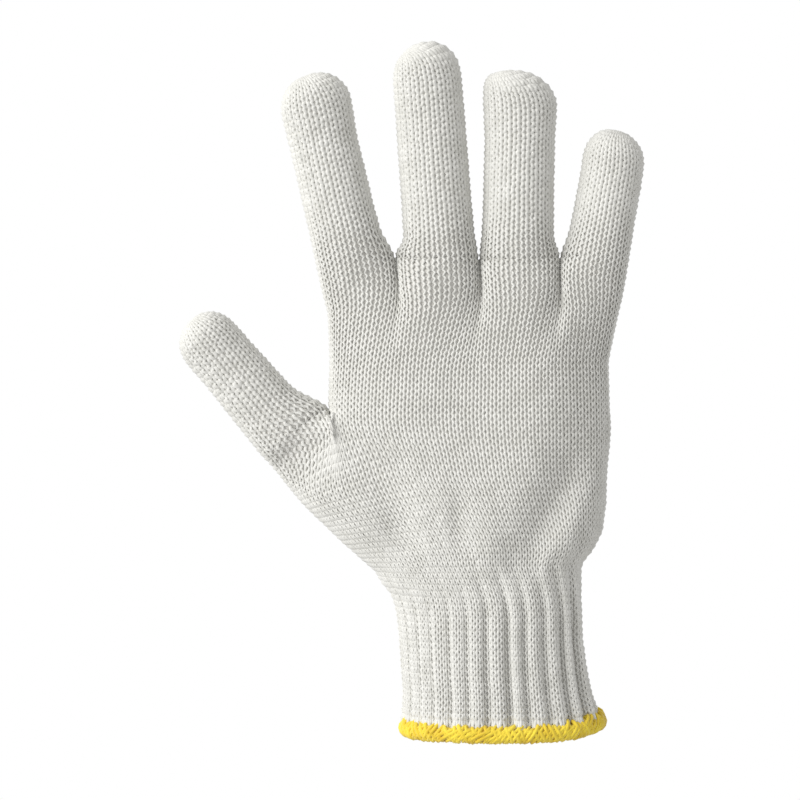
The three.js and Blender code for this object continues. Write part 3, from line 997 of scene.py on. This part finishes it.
class GLOVE_OT_materials(bpy.types.Operator):
    """Makes the glove's materials"""

    bl_idname = "glove.materials"
    bl_label = "Glove materials"

    def execute(self, context):
        colours = context.scene.glove_colours
        spun_yarn("spun cotton yarn", colours.cotton, colours.cotton_shade, roughness=0.92, sheen=0.25)
        spun_yarn("bulked overlock yarn", colours.edging, colours.edging_shade, roughness=0.8, sheen=0.3)
        shaded_knit("matted knit inside", colours.inside)
        return {"FINISHED"}


class GLOVE_OT_fingers(bpy.types.Operator):
    """Knits the four fingers"""

    bl_idname = "glove.fingers"
    bl_label = "Fingers"

    def execute(self, context):
        random = np.random.default_rng(SEED)
        fullness = (PALM_FULLNESS, FINGER_FULLNESS)
        for name, grid in zip(FINGERS, finger_grids()):
            courses = range(len(grid) - 1)
            knit(name + "_knit", grid, courses, name, random, fullness=fullness)
            backing(name + "_inside", grid, name, True)
        return {"FINISHED"}


class GLOVE_OT_thumb(bpy.types.Operator):
    """Knits the thumb"""

    bl_idname = "glove.thumb"
    bl_label = "Thumb"

    def execute(self, context):
        random = np.random.default_rng(SEED + 1)
        fullness = (FULL_YARN, FINGER_FULLNESS)
        grid = thumb_grid()
        courses = range(len(grid) - 1)
        knit("thumb_knit", grid, courses, "thumb", random, fullness=fullness)
        backing("thumb_inside", grid, "thumb", True)
        return {"FINISHED"}


class GLOVE_OT_palm(bpy.types.Operator):
    """Knits the palm, above the thumb and below it"""

    bl_idname = "glove.palm"
    bl_label = "Palm"

    def execute(self, context):
        random = np.random.default_rng(SEED + 2)
        fullness = (FULL_YARN, PALM_FULLNESS)
        knuckles = knuckle_grid()
        courses = range(len(knuckles) - 1)
        knit("knuckle_knit", knuckles, courses, "palm", random, fullness=fullness)
        backing("knuckle_inside", knuckles, "palm", False)
        body, first = body_grid()
        half = (first + len(body)) // 2
        lower, upper = range(first, half), range(half, len(body) - 1)
        knit("heel_lower_knit", body, lower, "palm", random, FINE_COLUMNS)
        knit("heel_upper_knit", body, upper, "palm", random, FINE_COLUMNS)
        backing("heel_inside", body[first:, ::2], "palm", False)
        return {"FINISHED"}


class GLOVE_OT_cuff(bpy.types.Operator):
    """Knits the ribbed cuff"""

    bl_idname = "glove.cuff"
    bl_label = "Ribbed cuff"

    def execute(self, context):
        random = np.random.default_rng(SEED + 3)
        body, last = body_grid()
        knit("rib_cuff_knit", body, range(last), "rib_cuff", random, FINE_COLUMNS)
        backing("rib_cuff_inside", body[: last + 1, ::2], "rib_cuff", False)
        return {"FINISHED"}


class GLOVE_OT_edge(bpy.types.Operator):
    """Overlocks the lower edge"""

    bl_idname = "glove.edge"
    bl_label = "Overlocked edge"

    def execute(self, context):
        random = np.random.default_rng(SEED + 4)
        tree = skin_tree("overlock_edge")
        low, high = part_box("overlock_edge")
        z = (low[2] + high[2]) / 2
        row = flat_row(tree, (edge_x(tree, z, -1), z), (edge_x(tree, z, 1), z))
        half_height = (high[2] - low[2]) / 2
        strands = [edge_wraps(row, half_height, *yarn, random) for yarn in EDGE_YARNS]
        piece = strands_object("overlock_loops", strands, OVERLOCK_PITCH)
        dress(piece, "bulked overlock yarn", "overlock_edge")
        piece = mesh_object("overlock_core", *edge_core(row, half_height))
        dress(piece, "bulked overlock yarn", "overlock_edge")
        return {"FINISHED"}


class GLOVE_OT_stage(bpy.types.Operator):
    """Sets the backdrop, the lights and the camera"""

    bl_idname = "glove.stage"
    bl_label = "Stage"

    def execute(self, context):
        self.surroundings(context)
        for lamp in LAMPS:
            self.lamp(context, *lamp)
        camera_data = bpy.data.cameras.new("camera")
        camera = bpy.data.objects.new("camera", camera_data)
        context.collection.objects.link(camera)
        camera.location = CAMERA_AIM + Vector((0, -CAMERA_DISTANCE, 0))
        camera.rotation_euler = (math.radians(90), 0, 0)
        camera_data.sensor_width = SENSOR_WIDTH
        camera_data.lens = SENSOR_WIDTH * CAMERA_DISTANCE / (PHOTO_WIDTH * PIXEL)
        context.scene.camera = camera
        context.scene.view_settings.view_transform = "Standard"
        return {"FINISHED"}

    def surroundings(self, context):
        world = bpy.data.worlds.new("studio")
        context.scene.world = world
        world.use_nodes = True
        tree = world.node_tree
        tree.nodes.clear()
        seen = add_node(tree, "ShaderNodeLightPath")
        camera_ray = {"Value": seen.outputs["Is Camera Ray"]}
        strength = add_node(tree, "ShaderNodeMapRange", SURROUNDINGS, camera_ray)
        white = {"Color": (1, 1, 1, 1)}
        light = add_node(tree, "ShaderNodeBackground", white, {"Strength": strength.outputs[0]})
        add_node(tree, "ShaderNodeOutputWorld", links={"Surface": light.outputs[0]})

    def lamp(self, context, name, place, size, power):
        data = bpy.data.lights.new(name, "AREA")
        data.size = size
        data.energy = power
        light = bpy.data.objects.new(name, data)
        light.location = place
        light.rotation_euler = (CAMERA_AIM - Vector(place)).to_track_quat("-Z", "Y").to_euler()
        context.collection.objects.link(light)


class GLOVE_PT_panel(bpy.types.Panel):
    """Lists the glove's steps"""

    bl_idname = "GLOVE_PT_panel"
    bl_label = "Knitted Work Glove"
    bl_space_type = "VIEW_3D"
    bl_region_type = "UI"
    bl_category = "Glove"

    def draw(self, context):
        for group in (context.scene.glove_knit, context.scene.glove_colours):
            for name in group.bl_rna.properties.keys():
                if name not in ("rna_type", "name"):
                    self.layout.prop(group, name)
        for step in STEPS:
            self.layout.operator(step.bl_idname)


STEPS = (
    GLOVE_OT_materials,
    GLOVE_OT_fingers,
    GLOVE_OT_thumb,
    GLOVE_OT_palm,
    GLOVE_OT_cuff,
    GLOVE_OT_edge,
    GLOVE_OT_stage,
)
CLASSES = (KnitSettings, ColourSettings) + STEPS + (GLOVE_PT_panel,)


def register():
    for cls in CLASSES:
        bpy.utils.register_class(cls)
    bpy.types.Scene.glove_knit = bpy.props.PointerProperty(type=KnitSettings)
    bpy.types.Scene.glove_colours = bpy.props.PointerProperty(type=ColourSettings)


def unregister():
    del bpy.types.Scene.glove_colours
    del bpy.types.Scene.glove_knit
    for cls in reversed(CLASSES):
        bpy.utils.unregister_class(cls)


def main():
    register()
    bpy.ops.glove.materials()
    bpy.ops.glove.fingers()
    bpy.ops.glove.thumb()
    bpy.ops.glove.palm()
    bpy.ops.glove.cuff()
    bpy.ops.glove.edge()
    bpy.ops.glove.stage()


if __name__ == "__main__":
    main()
